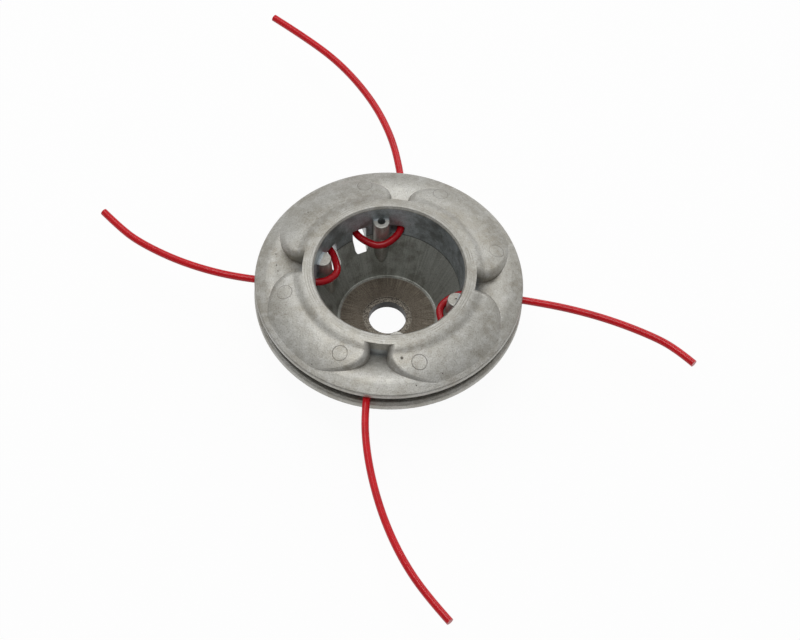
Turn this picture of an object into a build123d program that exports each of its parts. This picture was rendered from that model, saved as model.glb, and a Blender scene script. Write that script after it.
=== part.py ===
from build123d import *
import math
import os

# Fixed line trimmer head: one die-cast aluminium body and two loops of nylon cutting line.
# The body is a cup with two flanges round its wall. Each line goes round the wall in the groove
# between the flanges, in through two windows, round two posts inside the cup and out of two exits.
# Millimetres. Z is the spindle axis and Z = 0 is the mounting face under the floor.
# The four line exits point along +X, +Y, -X and -Y.

# Mounting end of the cup
bore_radius = 10.0
floor_thickness = 5.6
floor_radius = 26.4
floor_ledge_width = 0.7
floor_ledge_height = 0.5
washer_seat_radius = 12.8
washer_seat_depth = 0.5
base_edge_radius = 1.5

# Inside of the cup and its rim: heights above the upper flange's edge are called rises
cone_rise = 24.4
cone_top_radius = 37.8
cone_wall = 4.7
mouth_radius = 39.2
mouth_rise = 9.5
rim_wall = 6.0
crest_offset = 2.4
crest_rise = 10.4

# Flanges and the line groove between them
lower_flange_height = 26.8
lower_flange_thickness = 5.6
lower_flange_radius = 70.3
lower_root_radius = 3.0
lower_edge_radius = 2.0
groove_width = 5.4
groove_draft = 0.4
groove_root_radius = 0.8
upper_flange_thickness = 3.2
upper_flange_radius = 70.0
upper_edge_radius = 1.2

# Raised pads on the upper flange
shoulder_offset = 4.3
shoulder_rise = 7.9
shoulder_bulge = 0.6
pad_rim_margin = 1.0
pad_rim_drop = 0.05
pad_bulge = 1.2
valley_radius = 8.0
pad_edge_radius = 3.8

# Scoops between the pads, one over each line exit
exit_angles = (0.0, 90.0, 180.0, 270.0)
scoop_half_width = 4.5
scoop_neck_length = 3.4
scoop_flare_width = 20.0
scoop_rim_margin = 9.0
scoop_crown_margin = 9.0
scoop_crown_rise = 3.6
scoop_crown_radius = 12.0
scoop_foot_drop = 1.0
scoop_bulge = 0.5
scoop_rim_bulge = 0.1

# Posts that the lines go round, at an angle from the middle of each pair of exits
pair_angles = (135.0, 315.0)
post_angle = 32.2
post_radius = 4.35
post_inset = 1.05
post_rise = 1.55
post_lean = 4.5
post_edge_radius = 0.4
post_hole_radius = 2.1
post_hole_depth = 9.0
post_mark_radius = 0.8
post_mark_depth = 0.4

# Windows in the wall, at angles from the middle of each pair of exits
window_near_angle = 8.3
window_far_angle = 20.0
window_inset = 4.05
window_reach = 1.3
window_top_drop = 0.9
window_corner_radius = 1.5

# Line exits through the wall
exit_half_width = 4.2
exit_bottom_drop = 1.8
exit_top_drop = 1.0
exit_corner_radius = 1.5

# Cutting line: each free end from the head to its cut tip, at one height
line_radius = 1.95
line_height = 35.1
back_end = [
    (0.8, 57.0), (-2.0, 74.0), (-9.4, 97.5), (-22.5, 121.0), (-42.5, 144.0), (-64.5, 160.5), (-85.3, 173.2)
]
left_end = [
    (-57.0, -3.8), (-72.0, -4.6), (-92.0, -2.8), (-113.5, 2.4), (-134.5, 11.2), (-146.5, 19.6), (-155.9, 27.8)
]
front_end = [
    (-3.4, -57.0), (-3.6, -72.0), (-1.8, -90.0), (3.6, -111.5), (12.4, -134.5), (23.6, -155.0),
    (37.0, -172.6), (50.6, -185.9)
]
right_end = [
    (57.0, 1.4), (73.0, 0.6), (94.0, -1.2), (116.0, -5.4), (137.5, -12.2), (151.0, -18.6), (160.9, -26.7)
]
# Loops inside the head, from one exit round a post, through the groove and round the other post:
# along the middle of the pair of exits, across it, and the height
back_left_loop = [
    (30.3, 32.6, 34.3), (24.6, 28.0, 33.6), (23.0, 20.2, 32.8), (24.5, 13.5, 32.2), (30.2, 10.0, 31.9),
    (38.7, 8.2, 31.8), (46.2, 9.8, 34.7), (51.4, 0.0, 34.9), (46.2, -9.8, 34.7), (38.2, -8.4, 31.8),
    (30.6, -11.1, 31.9), (25.3, -14.0, 32.4), (23.3, -19.6, 33.0), (24.7, -26.6, 33.8), (30.3, -32.6, 34.3)
]
front_right_loop = [
    (30.3, 32.6, 34.3), (25.0, 27.6, 32.8), (23.1, 20.6, 31.4), (24.5, 14.2, 30.8), (30.3, 10.5, 31.0),
    (38.4, 8.3, 31.8), (46.2, 9.8, 34.7), (51.4, 0.0, 34.9), (46.2, -9.8, 34.7), (38.4, -8.3, 31.8),
    (30.3, -10.5, 31.0), (24.5, -14.2, 30.8), (23.1, -20.6, 31.4), (25.0, -27.6, 32.8), (30.3, -32.6, 34.3)
]
# Share of the shorter run at a point that its bend takes up, so that two bends never meet
bend_share = 0.45

# Heights and radii that follow from the sizes above
cone_top = floor_thickness + cone_rise
lower_top = lower_flange_height + lower_flange_thickness
upper_under = lower_top + groove_width
upper_top = upper_under + upper_flange_thickness
mouth_height = upper_top + mouth_rise
crest_height = upper_top + crest_rise
groove_radius = mouth_radius + rim_wall
cone_slope = (cone_top_radius - floor_radius) / cone_rise
base_radius = floor_radius - cone_slope * floor_thickness + cone_wall * math.hypot(1.0, cone_slope)
lower_root = base_radius + cone_slope * lower_flange_height
crest = (mouth_radius + crest_offset, crest_height)
shoulder = (groove_radius + shoulder_offset, upper_top + shoulder_rise)
pad_rim = (upper_flange_radius - pad_rim_margin, upper_top - pad_rim_drop)
scoop_crown = (upper_flange_radius - scoop_crown_margin, upper_top + scoop_crown_rise)
# How far one solid runs into another before they are joined, or past a face that it cuts
overlap = 1.5
pad_run_out = 16.0
# Share of a flare's tightest curve that the rounding of a pad's edge may take up
flare_share = 0.6
scoop_foot = (groove_radius - overlap, upper_top - scoop_foot_drop)
neck = groove_radius + scoop_neck_length
flare = upper_flange_radius - scoop_rim_margin
flare_curve = (flare - neck) ** 2 / scoop_flare_width


def bulged(start, end, bulge):
    """An arc that stands off its chord by bulge, to the left on the way from start to end."""
    along = Vector(*end) - Vector(*start)
    across = Vector(-along.Y, along.X).normalized()
    return ThreePointArc(start, (Vector(*start) + Vector(*end)) * 0.5 + across * bulge, end)


def rounded(face, corners):
    """A section with some of its corners rounded, given as (point, radius)."""
    for point, radius in corners:
        face = fillet(face.vertices().sort_by_distance((*point, 0))[0], radius)
    return face


def turned(face):
    """A solid of revolution from a section drawn as (radius, height)."""
    return revolve(Plane.XZ * face, Axis.Z)


def above_pads():
    """The section above the pads: rim crest, soft valley at the shoulder, pad, and on past the flange."""
    top = crest_height + overlap
    pad_arc = bulged(shoulder, pad_rim, pad_bulge)
    past = pad_arc @ 1 + pad_arc % 1 * pad_run_out
    face = make_face([
        bulged(crest, shoulder, shoulder_bulge),
        pad_arc,
        Polyline(pad_rim, past, (past.X, top), (crest[0], top), crest),
    ])
    return rounded(face, [(shoulder, valley_radius)])


def make_flanges():
    """Outside of the cup: lower flange, groove and the plain upper flange that the scoops lie in."""
    root_low = (groove_radius, lower_top - groove_draft)
    root_high = (groove_radius, upper_under + groove_draft)
    lower_under_edge = (lower_flange_radius, lower_flange_height)
    lower_top_edge = (lower_flange_radius, lower_top)
    upper_under_edge = (upper_flange_radius, upper_under)
    upper_top_edge = (upper_flange_radius, upper_top)
    face = make_face([
        Polyline(
            (0, scoop_foot[1]), (0, 0), (base_radius, 0), (lower_root, lower_flange_height), lower_under_edge,
            lower_top_edge, root_low, root_high, upper_under_edge, upper_top_edge
        ),
        bulged(upper_top_edge, scoop_crown, -scoop_rim_bulge),
        bulged(scoop_crown, scoop_foot, -scoop_bulge),
        Line(scoop_foot, (0, scoop_foot[1])),
    ])
    return turned(rounded(face, [
        ((base_radius, 0), base_edge_radius),
        ((lower_root, lower_flange_height), lower_root_radius),
        (lower_under_edge, lower_edge_radius),
        (lower_top_edge, lower_edge_radius),
        (root_low, groove_root_radius),
        (root_high, groove_root_radius),
        (upper_under_edge, upper_edge_radius),
        (upper_top_edge, upper_edge_radius),
        (scoop_crown, scoop_crown_radius),
    ]))


def pad_outline():
    """Plan of the pad between the exits on +X and +Y: straight by each notch, flared round each scoop."""
    side = scoop_half_width
    wide = scoop_half_width + scoop_flare_width
    return make_face([
        Line((side, side), (neck, side)),
        EllipticalCenterArc((neck, wide), flare - neck, scoop_flare_width, start_angle=270, arc_size=90),
        Polyline((flare, wide), (flare, flare), (wide, flare)),
        EllipticalCenterArc((wide, neck), scoop_flare_width, flare - neck, start_angle=90, arc_size=90),
        Line((side, neck), (side, side)),
    ])


def make_pads():
    """Rim and four pads. Their edges are rounded while the sides still run down past the flange."""
    plan = Circle(groove_radius)
    for angle in exit_angles:
        plan += Rot(0, 0, angle) * pad_outline()
    outside = pad_rim[0] + pad_run_out / 2
    block = make_face(Polyline((0, 0), (outside, 0), (outside, crest_height), (0, crest_height), close=True))
    pads = turned(block - above_pads()) & extrude(plan, crest_height)
    plain = (GeomType.LINE, GeomType.CIRCLE, GeomType.ELLIPSE)
    edges = [e for e in pads.edges() if e.geom_type not in plain]
    pads = fillet(edges, min(pad_edge_radius, flare_share * flare_curve))
    below = upper_under + upper_edge_radius
    return pads & Pos(0, 0, below) * extrude(Circle(pad_rim[0]), crest_height - below)


def make_hollow():
    """Inside of the cup: turned floor with a washer seat, cone, drafted wall and chamfered mouth."""
    seat = floor_thickness - washer_seat_depth
    ledge = floor_thickness + floor_ledge_height
    ledge_radius = floor_radius + cone_slope * floor_ledge_height
    chamfer = crest_height - mouth_height
    return turned(make_face(Polyline(
        (0, seat), (washer_seat_radius, seat), (washer_seat_radius, floor_thickness),
        (ledge_radius - floor_ledge_width, floor_thickness), (ledge_radius - floor_ledge_width, ledge),
        (ledge_radius, ledge), (cone_top_radius, cone_top), (mouth_radius, mouth_height),
        (mouth_radius + 2 * chamfer, mouth_height + 2 * chamfer), (0, mouth_height + 2 * chamfer), close=True
    )))


def make_post():
    """A post on the +X side of the cup: round towards the axis, flat sided back to the wall.

    It leans out towards the mouth, and its top is level.
    """
    centre = cone_top_radius - post_inset
    wall = max(mouth_radius, cone_top_radius)
    back = wall + overlap + upper_top * math.tan(math.radians(post_lean))
    top = upper_top + post_rise
    plan = Circle(post_radius) + Pos((back - centre) / 2, 0) * Rectangle(back - centre, 2 * post_radius)
    post = Pos(centre, 0, top) * Rot(0, post_lean, 0) * extrude(plan, top, both=True)
    post &= extrude(Rectangle(2 * back, 2 * back), top)
    post = fillet(post.faces().sort_by(Axis.Z)[-1].edges(), post_edge_radius)
    core = turned(make_face(Polyline(
        (0, floor_thickness), (floor_radius, floor_thickness), (cone_top_radius + overlap, cone_top),
        (mouth_radius + overlap, top), (0, top), close=True
    )))
    return post & core


def make_windows():
    """The two windows of a pair of exits whose middle lies on +X, open below past the lower flange."""
    inner = cone_top_radius - window_inset
    outer = groove_radius + window_reach
    spread = window_far_angle - window_near_angle
    near_arc = CenterArc((0, 0), inner, window_near_angle, spread)
    far_arc = CenterArc((0, 0), outer, window_near_angle, spread)
    sides = [Line(near_arc @ end, far_arc @ end) for end in (0, 1)]
    plan = make_face([near_arc, far_arc, *sides])
    plan = fillet(plan.vertices(), window_corner_radius)
    hole = extrude(plan, upper_under - window_top_drop)
    return [hole, mirror(hole, Plane.XZ)]


def make_exit():
    """A line exit on +X, through the wall into the groove."""
    bottom = lower_top - exit_bottom_drop
    top = upper_under - exit_top_drop
    start = cone_top_radius - overlap
    opening = Plane.YZ.offset(start) * Pos(0, (bottom + top) / 2) * RectangleRounded(
        2 * exit_half_width, top - bottom, exit_corner_radius
    )
    return extrude(opening, groove_radius + overlap - start)


def make_body():
    body = make_flanges() + make_pads() - make_hollow() - extrude(Circle(bore_radius), floor_thickness)
    for angle in exit_angles:
        body -= Rot(0, 0, angle) * make_exit()
    for angle in pair_angles:
        for window in make_windows():
            body -= Rot(0, 0, angle) * window
        for side in (1, -1):
            body += Rot(0, 0, angle + side * post_angle) * make_post()
    centre = cone_top_radius - post_inset
    top = upper_top + post_rise
    hole = Pos(centre, 0, top - post_hole_depth) * extrude(Circle(post_hole_radius), post_hole_depth)
    mark = Pos(centre, 0, top - post_mark_depth) * extrude(Circle(post_mark_radius), post_mark_depth)
    for angle in pair_angles:
        body -= Rot(0, 0, angle - post_angle) * hole
    body -= Rot(0, 0, pair_angles[1] + post_angle) * mark
    return body


def make_line(first_end, loop, second_end, angle):
    """A round line from the tip of one free end, through the loop of a pair of exits, to the other tip."""
    along = Vector(1, 0, 0).rotate(Axis.Z, angle)
    across = Vector(0, -1, 0).rotate(Axis.Z, angle)
    points = [Vector(x, y, line_height) for x, y in reversed(first_end)]
    points += [along * u + across * v + Vector(0, 0, z) for u, v, z in loop]
    points += [Vector(x, y, line_height) for x, y in second_end]
    runs = [b - a for a, b in zip(points, points[1:])]
    radii = []
    for before, after in zip(runs, runs[1:]):
        turn = math.radians(before.get_angle(after))
        radii.append(bend_share * min(before.length, after.length) / math.tan(turn / 2))
    path = FilletPolyline(*points, radius=radii)
    line = sweep(Plane(path @ 0, z_dir=path % 0) * Circle(line_radius), path)
    print("bend radii", [round(r, 1) for r in radii])
    print("length", round(path.length, 1), "volume", line.volume, math.pi * line_radius ** 2 * path.length)
    return line


parts = {
    "head_body": make_body(),
    "cutting_line_back_left": make_line(back_end, back_left_loop, left_end, pair_angles[0]),
    "cutting_line_front_right": make_line(front_end, front_right_loop, right_end, pair_angles[1]),
}
os.makedirs("parts", exist_ok=True)
for name, solid in parts.items():
    export_step(solid, f"parts/{name}.step")
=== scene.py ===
import math

import bpy
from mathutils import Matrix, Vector


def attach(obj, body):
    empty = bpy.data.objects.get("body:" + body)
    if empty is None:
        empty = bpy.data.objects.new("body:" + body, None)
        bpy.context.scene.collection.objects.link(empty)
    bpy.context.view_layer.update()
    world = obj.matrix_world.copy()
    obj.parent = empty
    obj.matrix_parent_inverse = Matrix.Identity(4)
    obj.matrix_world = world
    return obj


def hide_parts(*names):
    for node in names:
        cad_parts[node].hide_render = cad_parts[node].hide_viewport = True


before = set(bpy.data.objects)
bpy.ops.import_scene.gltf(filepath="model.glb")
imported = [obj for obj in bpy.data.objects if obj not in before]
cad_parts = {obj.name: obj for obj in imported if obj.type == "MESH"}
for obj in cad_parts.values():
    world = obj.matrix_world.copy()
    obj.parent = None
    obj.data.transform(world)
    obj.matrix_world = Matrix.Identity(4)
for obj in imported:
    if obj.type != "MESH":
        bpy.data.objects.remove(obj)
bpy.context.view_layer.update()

MM = 0.001


# Small helpers for building node trees

class Tree:
    """The node tree of a material or world, with short ways to add nodes and link them."""

    def __init__(self, owner):
        owner.use_nodes = True
        self.tree = owner.node_tree
        self.tree.nodes.clear()

    def node(self, kind, **settings):
        node = self.tree.nodes.new(kind)
        for name, value in settings.items():
            setattr(node, name, value)
        return node

    def put(self, socket, value):
        if isinstance(value, bpy.types.NodeSocket):
            self.tree.links.new(value, socket)
        else:
            socket.default_value = value

    def math(self, operation, *values):
        node = self.node("ShaderNodeMath", operation=operation)
        for socket, value in zip(node.inputs, values):
            self.put(socket, value)
        return node.outputs[0]

    def all_of(self, *values):
        product = values[0]
        for value in values[1:]:
            product = self.math("MULTIPLY", product, value)
        return product

    def any_of(self, *values):
        largest = values[0]
        for value in values[1:]:
            largest = self.math("MAXIMUM", largest, value)
        return largest

    def length(self, *values):
        squares = [self.math("MULTIPLY", value, value) for value in values]
        total = squares[0]
        for square in squares[1:]:
            total = self.math("ADD", total, square)
        return self.math("SQRT", total)

    def step(self, value, low, high, first=0.0, last=1.0):
        """A soft step from first at low to last at high; low may be the larger one."""
        node = self.node("ShaderNodeMapRange", interpolation_type="SMOOTHSTEP")
        for socket, item in zip(node.inputs, (value, low, high, first, last)):
            self.put(socket, item)
        return node.outputs[0]

    def band(self, value, low, high, soft):
        """1 between low and high, fading to 0 over soft outside them."""
        return self.all_of(self.step(value, low - soft, low), self.step(value, high + soft, high))

    def combine(self, x, y, z):
        node = self.node("ShaderNodeCombineXYZ")
        for socket, value in zip(node.inputs, (x, y, z)):
            self.put(socket, value)
        return node.outputs[0]

    def noise(self, vector, scale, detail=4.0, roughness=0.55):
        node = self.node("ShaderNodeTexNoise")
        self.put(node.inputs["Vector"], vector)
        self.put(node.inputs["Scale"], scale)
        self.put(node.inputs["Detail"], detail)
        self.put(node.inputs["Roughness"], roughness)
        return node.outputs["Fac"]

    def mix(self, factor, first, second):
        node = self.node("ShaderNodeMix", data_type="RGBA")
        self.put(node.inputs["Factor"], factor)
        self.put(node.inputs["A"], first)
        self.put(node.inputs["B"], second)
        return node.outputs["Result"]


def srgb(red, green, blue):
    """A colour given as 0 to 255 on screen, as Blender's linear values."""
    def linear(value):
        value /= 255
        return value / 12.92 if value <= 0.04045 else ((value + 0.055) / 1.055) ** 2.4
    return (linear(red), linear(green), linear(blue), 1.0)


# Cast aluminium

# Places on the casting, in millimetres
MOUTH_RADIUS = 39.2
MOUTH_HEIGHT = 50.5
CREASE_HEIGHT = 30.0
FLOOR_HEIGHT = 5.6
FLOOR_RADIUS = 26.4
CONE_RADIUS = 37.8
LEDGE_RADIUS = 25.9
SEAT_RADIUS = 12.8
BORE_RADIUS = 10.0
RIM_RADIUS = 45.2
LIP_HEIGHT = 49.5
THROAT_TOP = 46.0
PAD_HEIGHT = 44.5
FLANGE_HEIGHT = 38.5
# Radius and half the width of each thin line on the lip
LIP_LINES = [(41.5, 0.12), (42.6, 0.18), (43.9, 0.1)]
EJECTOR_CENTRE = (0.9, 1.8)
EJECTOR_CIRCLE = 56.9
EJECTOR_ANGLE = math.radians(20.9)
EJECTOR_RADIUS = 4.0
EJECTOR_LINE = 0.22
# Place and size of each pit
PITS = [
    (12.2, -50.7, 1.0), (-60.3, 6.7, 0.5), (-59.0, -0.1, 0.55), (-57.8, -3.6, 0.5), (21.0, -62.5, 0.45),
    (33.4, -54.5, 0.4), (-33.0, -57.0, 0.4), (-47.0, 33.5, 0.4), (49.0, 34.0, 0.4)
]


class Casting:
    """Where a point of the casting lies: its polar place and the regions that look different."""

    def __init__(self, tree):
        self.tree = tree
        self.point = tree.node("ShaderNodeTexCoord").outputs["Object"]
        axes = tree.node("ShaderNodeSeparateXYZ")
        tree.put(axes.inputs[0], self.point)
        self.x, self.y, self.z = axes.outputs
        self.radius = tree.length(self.x, self.y)
        self.turn = [tree.math("DIVIDE", self.x, self.radius), tree.math("DIVIDE", self.y, self.radius)]

        below_mouth = tree.step(self.z, MOUTH_HEIGHT * MM, (MOUTH_HEIGHT - 0.8) * MM)
        within_mouth = tree.step(self.radius, (MOUTH_RADIUS + 0.3) * MM, MOUTH_RADIUS * MM)
        self.cup = tree.all_of(within_mouth, below_mouth)
        above_crease = tree.step(self.z, (CREASE_HEIGHT - 0.3) * MM, (CREASE_HEIGHT + 0.3) * MM)
        self.upper_wall = tree.all_of(self.cup, above_crease)
        # Where the upright wall bends into the cone; a thin line of painted shade is drawn here
        self.crease = tree.band(self.z, (CREASE_HEIGHT - 0.2) * MM, (CREASE_HEIGHT + 0.2) * MM, 0.3 * MM)
        # The cone's radius at this height, which is an even slope and not a soft step
        cone = tree.step(self.z, FLOOR_HEIGHT * MM, CREASE_HEIGHT * MM, FLOOR_RADIUS * MM, CONE_RADIUS * MM)
        cone.node.interpolation_type = "LINEAR"
        from_wall = tree.math("SUBTRACT", cone, self.radius)
        above_floor = tree.step(self.z, (FLOOR_HEIGHT + 3.0) * MM, (FLOOR_HEIGHT + 4.0) * MM)
        self.post = tree.all_of(self.cup, above_floor, tree.step(from_wall, 0.3 * MM, 0.7 * MM))
        near_floor = tree.step(self.z, (FLOOR_HEIGHT + 0.5) * MM, (FLOOR_HEIGHT + 0.1) * MM)
        within_ledge = tree.step(self.radius, (LEDGE_RADIUS + 0.2) * MM, (LEDGE_RADIUS - 1.2) * MM)
        self.floor = tree.all_of(near_floor, within_ledge)
        within_seat = tree.step(self.radius, (SEAT_RADIUS + 0.6) * MM, SEAT_RADIUS * MM)
        self.seat = tree.all_of(near_floor, within_seat)
        # The bore's wall, which gets painted shade standing in for the shadow inside the hole
        self.shaded_bore = tree.step(self.radius, (BORE_RADIUS + 0.15) * MM, (BORE_RADIUS + 0.03) * MM)

    def streaks(self, around, along, value, detail=4.0):
        """Noise in polar terms: around gives its changes round the axis, along its changes with value."""
        t = self.tree
        spread = [t.math("MULTIPLY", part, around) for part in self.turn]
        return t.noise(t.combine(*spread, t.math("MULTIPLY", value, along)), 1.0, detail, 0.6)

    def ring(self, radius, half_width):
        return self.tree.band(self.radius, (radius - half_width) * MM, (radius + half_width) * MM, 0.2 * MM)

    def ejector_marks(self):
        """Distance from the nearest of the eight round marks, two beside each notch."""
        t = self.tree
        x = t.math("SUBTRACT", self.x, EJECTOR_CENTRE[0] * MM)
        y = t.math("SUBTRACT", self.y, EJECTOR_CENTRE[1] * MM)
        radius = t.length(x, y)
        from_notch = t.math("PINGPONG", t.math("ARCTAN2", y, x), math.radians(45))
        offset = t.math("SUBTRACT", from_notch, EJECTOR_ANGLE)
        out = t.math("SUBTRACT", t.math("MULTIPLY", radius, t.math("COSINE", offset)), EJECTOR_CIRCLE * MM)
        across = t.math("MULTIPLY", radius, t.math("SINE", offset))
        return t.length(out, across)

    def fresh_marks(self):
        """How well each mark shows: best in front, hardly above the left notch and below the right."""
        t = self.tree
        sideways = t.math("SUBTRACT", t.math("ABSOLUTE", self.x), t.math("ABSOLUTE", self.y))
        worn_pair = t.step(t.math("MULTIPLY", self.x, self.y), 0.0, -500 * MM * MM)
        worn = t.all_of(t.step(sideways, 0.0, 20.0 * MM), worn_pair)
        return t.all_of(t.step(self.y, -40.0 * MM, 0.0, 1.0, 0.7), t.math("SUBTRACT", 1.0, worn))

    def pits(self):
        t = self.tree
        spots = []
        for x, y, size in PITS:
            away = t.length(t.math("SUBTRACT", self.x, x * MM), t.math("SUBTRACT", self.y, y * MM))
            spots.append(t.step(away, size * MM, 0.4 * size * MM))
        return t.any_of(*spots)


def cast_aluminium():
    material = bpy.data.materials.new("cast_aluminium")
    t = Tree(material)
    place = Casting(t)
    outside = t.math("SUBTRACT", 1.0, place.cup)

    patches = t.noise(place.point, 40.0, 5.0, 0.6)
    mottle = t.noise(place.point, 260.0, 6.0, 0.7)
    grain = t.noise(place.point, 1500.0, 4.0, 0.7)
    stain = t.noise(place.point, 70.0, 7.0, 0.7)
    circles = place.streaks(9.0, 1100.0, place.radius)
    radial = place.streaks(34.0, 60.0, place.radius)
    draw = place.streaks(42.0, 40.0, place.z)

    colour = t.mix(t.step(patches, 0.35, 0.65), srgb(158, 155, 146), srgb(178, 177, 171))
    colour = t.mix(t.step(mottle, 0.4, 0.7, 0.0, 0.55), colour, srgb(202, 202, 199))
    colour = t.mix(t.step(stain, 0.48, 0.74, 0.0, 0.55), colour, srgb(132, 126, 113))
    colour = t.mix(t.step(circles, 0.5, 0.75, 0.0, 0.35), colour, srgb(196, 194, 188))
    colour = t.mix(t.step(grain, 0.46, 0.68, 0.0, 0.55), colour, srgb(114, 108, 98))

    rim = t.all_of(outside, t.step(place.z, (LIP_HEIGHT - 2.0) * MM, LIP_HEIGHT * MM))
    lines = t.any_of(*[place.ring(radius, half) for radius, half in LIP_LINES])
    lines = t.all_of(rim, lines, t.step(patches, 0.4, 0.6))
    colour = t.mix(t.math("MULTIPLY", lines, 0.55), colour, srgb(120, 115, 104))
    # Painted light: faces just outside the rim and below the lip, such as the rim wall in each notch, are
    # lightened to a pale blue-grey that stands in for light reflected onto them.
    near_rim = t.step(place.radius, (RIM_RADIUS + 2.5) * MM, RIM_RADIUS * MM)
    painted_light_throat = t.all_of(outside, near_rim, t.step(place.z, THROAT_TOP * MM, (THROAT_TOP - 2.0) * MM))
    colour = t.mix(t.math("MULTIPLY", painted_light_throat, 0.7), colour, srgb(186, 192, 196))

    away = place.ejector_marks()
    top = t.step(place.z, (PAD_HEIGHT - 1.0) * MM, PAD_HEIGHT * MM)
    circle = t.band(away, (EJECTOR_RADIUS - EJECTOR_LINE) * MM, EJECTOR_RADIUS * MM, 0.18 * MM)
    circle = t.all_of(circle, outside, top, t.step(mottle, 0.3, 0.6, 0.2, 0.8), place.fresh_marks())
    colour = t.mix(circle, colour, srgb(100, 97, 92))
    pits = t.all_of(place.pits(), outside, t.step(place.z, (FLANGE_HEIGHT - 0.5) * MM, FLANGE_HEIGHT * MM))
    colour = t.mix(t.math("MULTIPLY", pits, 0.9), colour, srgb(58, 52, 44))

    wall = t.mix(t.step(draw, 0.2, 0.8), srgb(158, 160, 154), srgb(190, 192, 186))
    wall = t.mix(t.step(stain, 0.45, 0.65, 0.0, 0.75), wall, srgb(116, 115, 106))
    # Painted light: the wall above the crease gets a cooler blue-grey tone that copies how the upright wall
    # catches light differently from the cone below; it is the same metal.
    upper = t.mix(t.step(mottle, 0.35, 0.65), srgb(160, 168, 172), srgb(192, 200, 204))
    upper = t.mix(t.step(stain, 0.45, 0.65, 0.0, 0.75), upper, srgb(112, 116, 115))
    wall = t.mix(place.upper_wall, wall, upper)
    # Painted shade: a thin dark line along the crease, standing in for the shade that falls in that bend.
    wall = t.mix(t.math("MULTIPLY", place.crease, 0.7), wall, srgb(70, 71, 69))
    wall = t.mix(t.step(grain, 0.46, 0.7, 0.0, 0.5), wall, srgb(96, 94, 87))
    plain_wall = t.all_of(place.cup, t.math("SUBTRACT", 1.0, place.post))
    colour = t.mix(plain_wall, colour, wall)
    floor = t.mix(t.step(radial, 0.25, 0.75), srgb(84, 76, 65), srgb(126, 117, 104))
    floor = t.mix(t.step(grain, 0.45, 0.66, 0.0, 0.7), floor, srgb(60, 53, 45))
    flecks = t.all_of(t.step(radial, 0.5, 0.6), t.step(place.radius, 21.0 * MM, 13.0 * MM))
    floor = t.mix(t.math("MULTIPLY", flecks, 0.7), floor, srgb(58, 52, 44))
    colour = t.mix(place.floor, colour, floor)
    seat = t.mix(t.step(grain, 0.42, 0.6), srgb(142, 135, 123), srgb(60, 54, 47))
    colour = t.mix(place.seat, colour, seat)
    # Painted shade: the bore's wall is made nearly black, standing in for the shadow inside the hole.
    colour = t.mix(place.shaded_bore, colour, srgb(30, 27, 24))

    # Painted shade: crevices found by ambient occlusion are darkened, broken up by the stain noise, standing
    # in for the shade that falls in them.
    crevice = t.node("ShaderNodeAmbientOcclusion", only_local=True, samples=6)
    crevice.inputs["Distance"].default_value = 4.0 * MM
    painted_crevice_shade = t.all_of(t.step(crevice.outputs["AO"], 0.7, 0.3), t.step(stain, 0.35, 0.6, 0.2, 1.0))
    colour = t.mix(t.math("MULTIPLY", painted_crevice_shade, 0.45), colour, srgb(94, 88, 77))

    shader = t.node("ShaderNodeBsdfPrincipled")
    t.put(shader.inputs["Base Color"], colour)
    shader.inputs["Metallic"].default_value = 0.65
    t.put(shader.inputs["Roughness"], t.step(mottle, 0.25, 0.75, 0.33, 0.5))
    relief = t.math("ADD", t.math("MULTIPLY", grain, 0.3), t.math("MULTIPLY", mottle, 1.0))
    relief = t.math("SUBTRACT", relief, t.math("MULTIPLY", t.any_of(circle, pits), 0.6))
    bump = t.node("ShaderNodeBump")
    bump.inputs["Strength"].default_value = 0.4
    bump.inputs["Distance"].default_value = 0.5 * MM
    t.put(bump.inputs["Height"], relief)
    t.put(shader.inputs["Normal"], bump.outputs[0])
    out = t.node("ShaderNodeOutputMaterial")
    t.put(out.inputs[0], shader.outputs[0])
    return material


def red_nylon():
    material = bpy.data.materials.new("red_nylon")
    t = Tree(material)
    point = t.node("ShaderNodeTexCoord").outputs["Object"]
    axes = t.node("ShaderNodeSeparateXYZ")
    t.put(axes.inputs[0], point)
    from_axis = t.length(axes.outputs[0], axes.outputs[1])
    # Painted shade: the line inside the cup is made a deeper red, standing in for the shade it lies in there.
    painted_shade_in_cup = t.step(from_axis, (MOUTH_RADIUS + 2.8) * MM, (MOUTH_RADIUS - 1.2) * MM)
    cloud = t.noise(point, 120.0, 3.0, 0.5)
    scuff = t.noise(point, 900.0, 3.0, 0.6)
    colour = t.mix(t.step(cloud, 0.3, 0.7), srgb(188, 9, 23), srgb(202, 14, 28))
    colour = t.mix(t.step(scuff, 0.6, 0.8, 0.0, 0.25), colour, srgb(140, 10, 22))
    colour = t.mix(t.math("MULTIPLY", painted_shade_in_cup, 0.75), colour, srgb(146, 2, 18))
    shader = t.node("ShaderNodeBsdfPrincipled")
    t.put(shader.inputs["Base Color"], colour)
    t.put(shader.inputs["Roughness"], t.step(scuff, 0.2, 0.8, 0.1, 0.2))
    shader.inputs["IOR"].default_value = 1.53
    shader.inputs["Specular IOR Level"].default_value = 0.3
    out = t.node("ShaderNodeOutputMaterial")
    t.put(out.inputs[0], shader.outputs[0])
    return material


aluminium = cast_aluminium()
nylon = red_nylon()

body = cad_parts["head_body"]
body.data.materials.clear()
body.data.materials.append(aluminium)


# Cutting line: each length is one line, shown as its loop in the head and its two free ends

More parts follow.
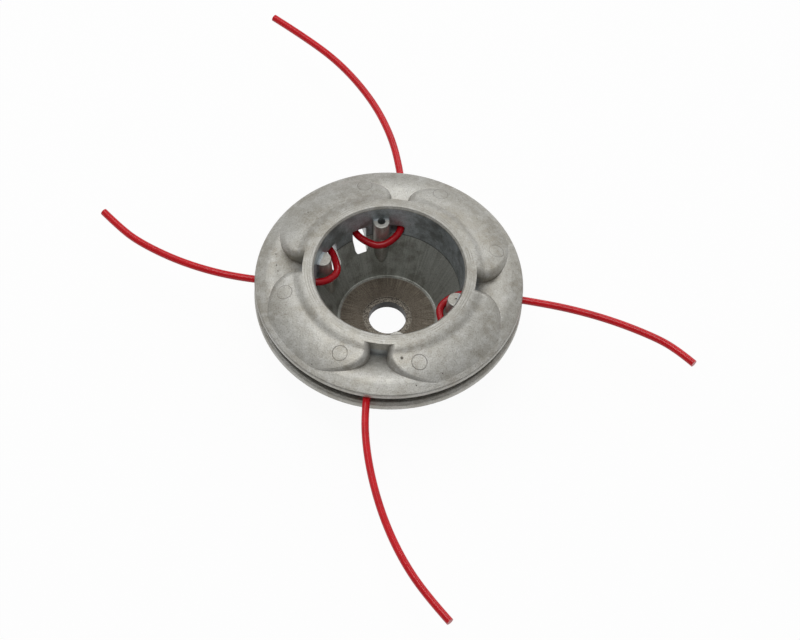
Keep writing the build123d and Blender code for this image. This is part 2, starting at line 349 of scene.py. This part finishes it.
LINE_DIAMETER = 3.9
LINE_HEIGHT = 35.1
BACK_END = [
    (0.8, 57.0), (-2.0, 74.0), (-9.4, 97.5), (-22.5, 121.0), (-42.5, 144.0), (-64.5, 160.5), (-85.3, 173.2)
]
LEFT_END = [
    (-57.0, -3.8), (-72.0, -4.6), (-92.0, -2.8), (-113.5, 2.4), (-134.5, 11.2), (-146.5, 19.6), (-155.9, 27.8)
]
FRONT_END = [
    (-3.4, -57.0), (-3.6, -72.0), (-1.8, -90.0), (3.6, -111.5), (12.4, -134.5), (23.6, -155.0),
    (37.0, -172.6), (50.6, -185.9)
]
RIGHT_END = [
    (57.0, 1.4), (73.0, 0.6), (94.0, -1.2), (116.0, -5.4), (137.5, -12.2), (151.0, -18.6), (160.9, -26.7)
]
# Loops: along the middle of the pair of exits, across it, and the height
BACK_LEFT_LOOP = [
    (30.3, 32.6, 34.3), (24.6, 28.0, 33.6), (23.0, 20.2, 32.8), (24.5, 13.5, 32.2), (30.2, 10.0, 31.9),
    (38.7, 8.2, 31.8), (46.2, 9.8, 34.7), (51.4, 0.0, 34.9), (46.2, -9.8, 34.7), (38.2, -8.4, 31.8),
    (30.6, -11.1, 31.9), (25.3, -14.0, 32.4), (23.3, -19.6, 33.0), (24.7, -26.6, 33.8), (30.3, -32.6, 34.3)
]
FRONT_RIGHT_LOOP = [
    (30.3, 32.6, 34.3), (25.0, 27.6, 32.8), (23.1, 20.6, 31.4), (24.5, 14.2, 30.8), (30.3, 10.5, 31.0),
    (38.4, 8.3, 31.8), (46.2, 9.8, 34.7), (51.4, 0.0, 34.9), (46.2, -9.8, 34.7), (38.4, -8.3, 31.8),
    (30.3, -10.5, 31.0), (24.5, -14.2, 30.8), (23.1, -20.6, 31.4), (25.0, -27.6, 32.8), (30.3, -32.6, 34.3)
]
# Where each free end leaves the head, halfway along the run through its exit
BACK_EXIT = (1.21, 50.74, 34.7)
LEFT_EXIT = (-50.74, -2.71, 34.7)
FRONT_EXIT = (-2.51, -50.74, 34.7)
RIGHT_EXIT = (50.74, 1.51, 34.7)


def loop(points, angle):
    """A loop's points turned to the middle of its pair of exits."""
    along = Vector((math.cos(angle), math.sin(angle), 0))
    across = Vector((math.sin(angle), -math.cos(angle), 0))
    return [along * u + across * v + Vector((0, 0, z)) for u, v, z in points]


def line_piece(name, points, node):
    data = bpy.data.curves.new(name, "CURVE")
    data.dimensions = "3D"
    data.resolution_u = 24
    data.bevel_depth = LINE_DIAMETER / 2 * MM
    data.bevel_resolution = 8
    data.use_fill_caps = True
    spline = data.splines.new("NURBS")
    spline.points.add(len(points) - 1)
    for target, point in zip(spline.points, points):
        target.co = (*(Vector(point) * MM), 1.0)
    spline.order_u = 3
    spline.use_endpoint_u = True
    data.materials.append(nylon)
    piece = bpy.data.objects.new(name, data)
    bpy.context.collection.objects.link(piece)
    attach(piece, "root")
    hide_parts(node)
    return piece


def free_end(name, leave, points, node):
    piece = line_piece(name, [leave] + [(x, y, LINE_HEIGHT) for x, y in points], node)


def loop_piece(first_exit, points, angle, second_exit, node):
    line_piece(node + "_loop", [first_exit, *loop(points, math.radians(angle)), second_exit], node)


free_end("line_end_back", BACK_EXIT, BACK_END, "cutting_line_back_left")
free_end("line_end_left", LEFT_EXIT, LEFT_END, "cutting_line_back_left")
loop_piece(BACK_EXIT, BACK_LEFT_LOOP, 135, LEFT_EXIT, "cutting_line_back_left")
free_end("line_end_front", FRONT_EXIT, FRONT_END, "cutting_line_front_right")
free_end("line_end_right", RIGHT_EXIT, RIGHT_END, "cutting_line_front_right")
loop_piece(FRONT_EXIT, FRONT_RIGHT_LOOP, 315, RIGHT_EXIT, "cutting_line_front_right")


# Floor, light and camera

# How much of the floor's look is plain white; the rest shows the object's shadow
WHITE_SHARE = 0.95


def white_floor():
    material = bpy.data.materials.new("floor")
    t = Tree(material)
    path = t.node("ShaderNodeLightPath").outputs
    seen = t.any_of(path["Is Camera Ray"], path["Is Glossy Ray"], path["Is Transmission Ray"])
    diffuse = t.node("ShaderNodeBsdfDiffuse")
    diffuse.inputs["Color"].default_value = (0.8, 0.8, 0.8, 1)
    white = t.node("ShaderNodeEmission")
    mixed = t.node("ShaderNodeMixShader")
    t.put(mixed.inputs[0], t.math("MULTIPLY", seen, WHITE_SHARE))
    t.put(mixed.inputs[1], diffuse.outputs[0])
    t.put(mixed.inputs[2], white.outputs[0])
    out = t.node("ShaderNodeOutputMaterial")
    t.put(out.inputs[0], mixed.outputs[0])
    return material


bpy.ops.mesh.primitive_plane_add(size=8.0, location=(0, 0, 0))
ground = bpy.context.object
ground.name = "floor"
ground.data.materials.append(white_floor())

def studio():
    """Soft light from all round, strongest from the back and from overhead."""
    world = bpy.data.worlds.new("studio")
    t = Tree(world)
    direction = t.node("ShaderNodeSeparateXYZ")
    t.put(direction.inputs[0], t.node("ShaderNodeTexCoord").outputs["Generated"])
    backward = t.math("MULTIPLY", direction.outputs[1], 0.6)
    upward = t.math("MULTIPLY", direction.outputs[2], 0.6)
    background = t.node("ShaderNodeBackground")
    t.put(background.inputs["Strength"], t.step(t.math("ADD", backward, upward), -0.45, 0.75, 0.28, 0.8))
    t.put(t.node("ShaderNodeOutputWorld").inputs[0], background.outputs[0])
    return world


bpy.context.scene.world = studio()


def lamp(name, place, size, power):
    data = bpy.data.lights.new(name, "AREA")
    data.size = size
    data.energy = power
    light = bpy.data.objects.new(name, data)
    light.location = place
    light.rotation_euler = (Vector((0, 0, 0.03)) - Vector(place)).to_track_quat("-Z", "Y").to_euler()
    bpy.context.collection.objects.link(light)


lamp("top", (-0.1, 0.0, 1.3), 0.6, 4.0)
lamp("back left", (-0.5, 0.6, 1.1), 0.6, 2.0)
lamp("back right", (0.35, 1.0, 0.8), 0.6, 2.0)

camera = bpy.data.objects.new("camera", bpy.data.cameras.new("camera"))
camera.data.lens = 96.7744
camera.data.sensor_width = 36.0
camera.location = (0.0475055, -0.6173889, 0.97426)
camera.rotation_euler = (0.5670810, -0.0287813, 0.1109796)
bpy.context.collection.objects.link(camera)
bpy.context.scene.camera = camera
bpy.context.scene.view_settings.view_transform = "Standard"
